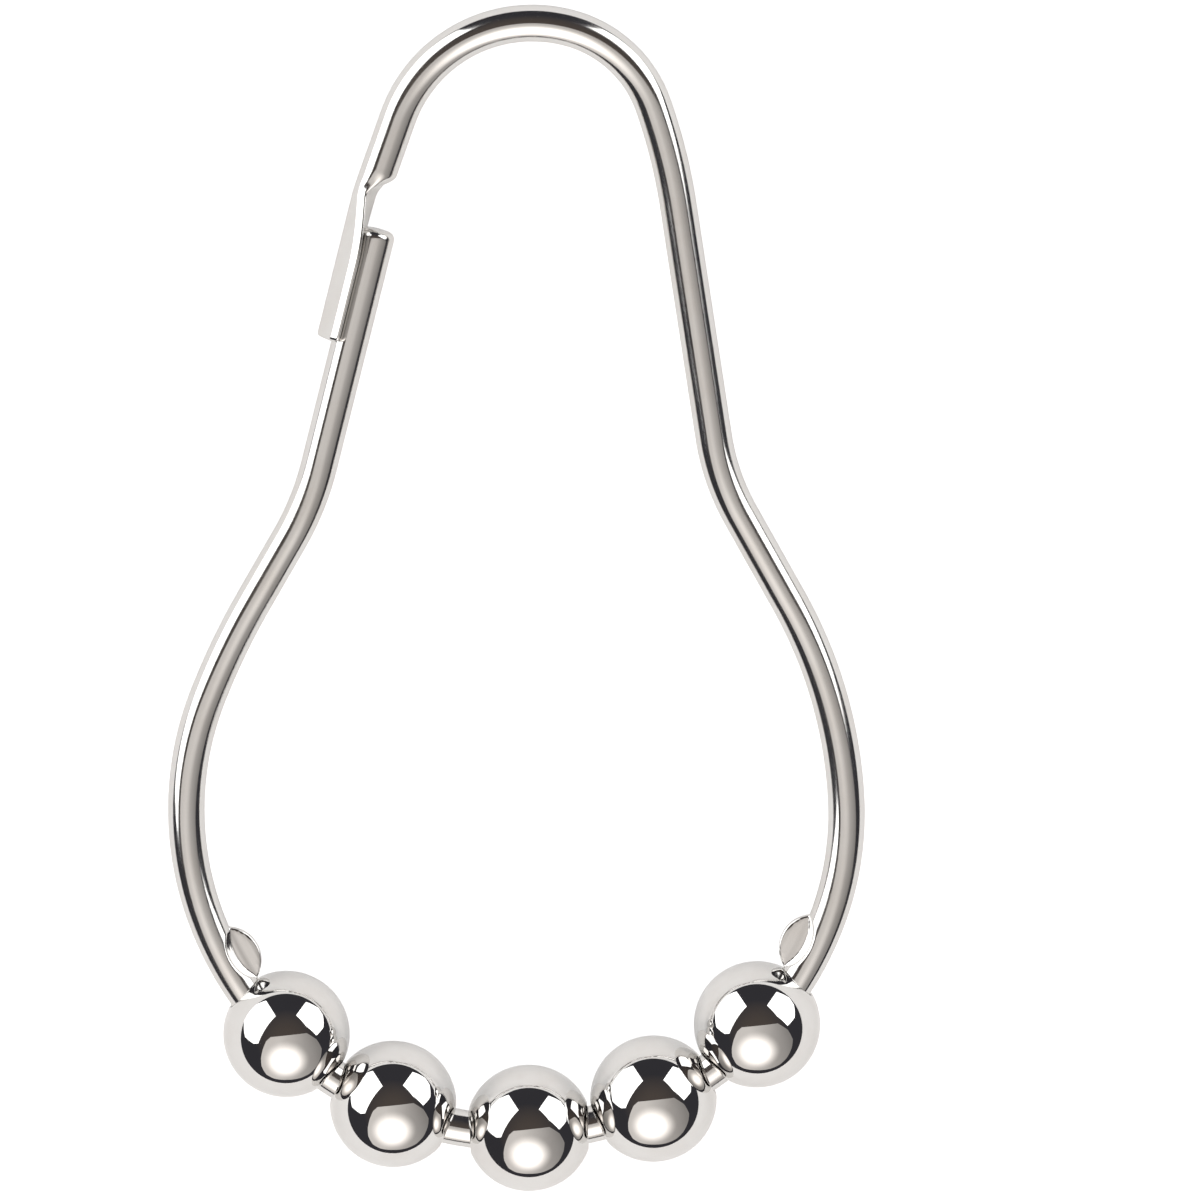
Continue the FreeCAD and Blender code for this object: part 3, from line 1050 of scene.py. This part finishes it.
# %% [markdown]
# ## A studio to reflect
#
# A mirror shows the room, so the room has to be built. A polished ball is a map of it: a point on
# the ball's picture tells the direction of what is reflected there. Two big soft boxes hang left
# and right of the camera, with a dark gap between them that makes the dark hourglass on every
# ball. Below them stands a round diffuser with a bright middle. The outline of each is given as
# it looks on a ball's picture, whose radius is 1, and is then thrown out into the room.

# %% Panels that glow
PANEL_DISTANCE = 1.6


def mirrored_direction(across, up):
    """The direction that a mirror ball shows at a point of its picture."""
    facing = math.sqrt(1 - across ** 2 - up ** 2)
    return camera_turn @ Vector((2 * across * facing, 2 * up * facing, 2 * facing ** 2 - 1))


def studio_panel(name, outline, middle, material):
    """A panel with this outline and middle on a ball's picture."""
    corners = [mirrored_direction(*point) * PANEL_DISTANCE for point in outline + [middle]]
    count = len(outline)
    mesh = bpy.data.meshes.new(name)
    mesh.from_pydata(corners, [], [(index, (index + 1) % count, count) for index in range(count)])
    mesh.materials.append(material)
    panel = bpy.data.objects.new(name, mesh)
    bpy.context.scene.collection.objects.link(panel)
    panel.visible_camera = False


def glow(name):
    """A material that only shines, and the sockets for its colour and strength."""
    material = bpy.data.materials.new(name)
    material.use_nodes = True
    tree = material.node_tree
    tree.nodes.clear()
    emission = tree.nodes.new("ShaderNodeEmission")
    output = tree.nodes.new("ShaderNodeOutputMaterial")
    tree.links.new(emission.outputs["Emission"], output.inputs["Surface"])
    return material, tree, emission.inputs


print("the middle of a ball mirrors", [round(part, 2) for part in mirrored_direction(0, 0)])

# %% [markdown]
# ## Two soft boxes
#
# These are the white shapes on every ball and the white lines along the wire. They also give most
# of the light. Their strength is set by the table, whose paper has to render about as bright as
# its colour is written.

# %% Two soft boxes
SOFT_BOX_GLOW = 2.3
LEFT_BOX = [
    (-0.328, 0.526), (-0.165, 0.286), (-0.265, 0.173), (-0.364, 0.017), (-0.434, -0.146),
    (-0.505, -0.153), (-0.64, -0.054), (-0.665, 0.158), (-0.645, 0.314), (-0.505, 0.441),
]
RIGHT_BOX = [
    (0.315, 0.512), (0.16, 0.3), (0.315, 0.13), (0.478, -0.025), (0.591, 0.102),
    (0.584, 0.3), (0.513, 0.413),
]
soft_box, tree, sockets = glow("soft box")
sockets["Strength"].default_value = SOFT_BOX_GLOW
studio_panel("left_soft_box", LEFT_BOX, (-0.45, 0.2), soft_box)
studio_panel("right_soft_box", RIGHT_BOX, (0.4, 0.25), soft_box)
print("soft boxes glow at", SOFT_BOX_GLOW)

# %% [markdown]
# ## The round diffuser
#
# A lamp shines through round cloth. Its middle is burnt out to white, and from there the cloth
# fades to a warm grey that is darker on one side. A ball shows the cloth a little flattened. The
# upright wires and the flat ears mirror its upper part, which gives them their beige.

# %% A round diffuser with a bright middle
CORE = mirrored_direction(0.0, -0.43) * PANEL_DISTANCE
CORE_EDGES = (0.15, 1.05)
CORE_GLOW = 1.9
CLOTH_SIDES = (-0.3, 1.3)
CLOTH_GLOW = (0.77, 0.3)
CLOTH_TONE = (0.98, 0.93, 0.89, 1)
FLATTENED = 0.87
CLOTH = [
    (-0.24, -0.05), (0.325, 0.02), (0.48, -0.1), (0.555, -0.27), (0.54, -0.41), (0.46, -0.6),
    (0.35, -0.72), (0.21, -0.79), (0.01, -0.817), (-0.2, -0.79), (-0.31, -0.72),
    (-0.38, -0.577), (-0.39, -0.436), (-0.36, -0.266), (-0.31, -0.124),
]
diffuser, tree, sockets = glow("diffuser cloth")
place = tree.nodes.new("ShaderNodeTexCoord").outputs["Object"]
apart = tree.nodes.new("ShaderNodeVectorMath")
apart.operation = "DISTANCE"
apart.inputs[1].default_value = CORE
tree.links.new(place, apart.inputs[0])
falloff = range_node(tree, apart.outputs["Value"], CORE_EDGES, (1, 0))
falloff.interpolation_type = "SMOOTHSTEP"
sideways = tree.nodes.new("ShaderNodeSeparateXYZ")
tree.links.new(place, sideways.inputs[0])
shade = range_node(tree, sideways.outputs["X"], CLOTH_SIDES, CLOTH_GLOW)
core = math_node(tree, "MULTIPLY", falloff.outputs["Result"], CORE_GLOW)
tree.links.new(math_node(tree, "ADD", core, shade.outputs["Result"]), sockets["Strength"])
sockets["Color"].default_value = CLOTH_TONE
cloth = [(across, up * FLATTENED) for across, up in CLOTH]
studio_panel("round_diffuser", cloth, (0.05, -0.4), diffuser)
print("diffuser's lamp at", [round(part, 2) for part in CORE])

# %% [markdown]
# ## The white table
#
# The hook lies on a white table. The photographer lit it until it was pure white, so the camera
# and every mirror see it a little brighter than paper in this light, while the light that it
# throws stays plain. Away from the hook the camera sees the table brighter still, so that its
# far edge melts into the white behind it.

# %% A wide table
TABLE_RADIUS = 6.0
TABLE_GLOW_TO_CAMERA = (0.75, 1.0)
TABLE_GLOW_RISES = (0.1, 0.8)
TABLE_GLOW_TO_MIRRORS = 0.27
PAPER = (0.8, 0.8, 0.8, 1)


def table_finish():
    material, tree, sockets = glow("white table")
    paper = tree.nodes.new("ShaderNodeBsdfDiffuse")
    paper.inputs["Color"].default_value = PAPER
    rays = tree.nodes.new("ShaderNodeLightPath").outputs
    mirrored = math_node(tree, "MAXIMUM", rays["Is Glossy Ray"], rays["Is Transmission Ray"])
    mirrored = math_node(tree, "MULTIPLY", mirrored, TABLE_GLOW_TO_MIRRORS)
    away = tree.nodes.new("ShaderNodeVectorMath")
    away.operation = "LENGTH"
    tree.links.new(tree.nodes.new("ShaderNodeTexCoord").outputs["Object"], away.inputs[0])
    rise = range_node(tree, away.outputs["Value"], TABLE_GLOW_RISES, TABLE_GLOW_TO_CAMERA)
    seen = math_node(tree, "MULTIPLY", rays["Is Camera Ray"], rise.outputs["Result"])
    tree.links.new(math_node(tree, "ADD", seen, mirrored), sockets["Strength"])
    both = tree.nodes.new("ShaderNodeAddShader")
    output = tree.nodes["Material Output"]
    tree.links.new(paper.outputs["BSDF"], both.inputs[0])
    tree.links.new(tree.nodes["Emission"].outputs["Emission"], both.inputs[1])
    tree.links.new(both.outputs["Shader"], output.inputs["Surface"])
    return material


bm = bmesh.new()
bmesh.ops.create_circle(bm, cap_ends=True, radius=TABLE_RADIUS, segments=64)
table_mesh = bpy.data.meshes.new("white_table")
bm.to_mesh(table_mesh)
bm.free()
table_mesh.materials.append(table_finish())
table = bpy.data.objects.new("white_table", table_mesh)
bpy.context.scene.collection.objects.link(table)
print("table", TABLE_RADIUS * 2, "m across")

# %% [markdown]
# ## The dark room
#
# Polished metal looks like metal through the dark that it mirrors beside the light. The room is
# dark around the table and a little warmer overhead. Only the camera sees it as plain white.

# %% A dark room
ROOM_OVERHEAD = (0.084, 0.069, 0.061, 1)
ROOM_WALLS = (0.038, 0.037, 0.043, 1)
ROOM_CLIMB = (0.55, 0.95)
WHITE = (1, 1, 1, 1)
world = bpy.data.worlds.new("dark room")
bpy.context.scene.world = world
world.use_nodes = True
tree = world.node_tree
direction = tree.nodes.new("ShaderNodeTexCoord").outputs["Generated"]
height = tree.nodes.new("ShaderNodeSeparateXYZ")
tree.links.new(direction, height.inputs[0])
climb = range_node(tree, height.outputs["Z"], ROOM_CLIMB, (0, 1))
walls = tree.nodes.new("ShaderNodeMix")
walls.data_type = "RGBA"
walls.inputs[6].default_value = ROOM_WALLS
walls.inputs[7].default_value = ROOM_OVERHEAD
tree.links.new(climb.outputs["Result"], walls.inputs["Factor"])
backdrop = tree.nodes.new("ShaderNodeMix")
backdrop.data_type = "RGBA"
backdrop.inputs[7].default_value = WHITE
tree.links.new(walls.outputs[2], backdrop.inputs[6])
rays = tree.nodes.new("ShaderNodeLightPath").outputs
tree.links.new(rays["Is Camera Ray"], backdrop.inputs["Factor"])
tree.links.new(backdrop.outputs[2], tree.nodes["Background"].inputs["Color"])
print("room", ROOM_WALLS[:3])

# %% Finish
bpy.context.view_layer.update()
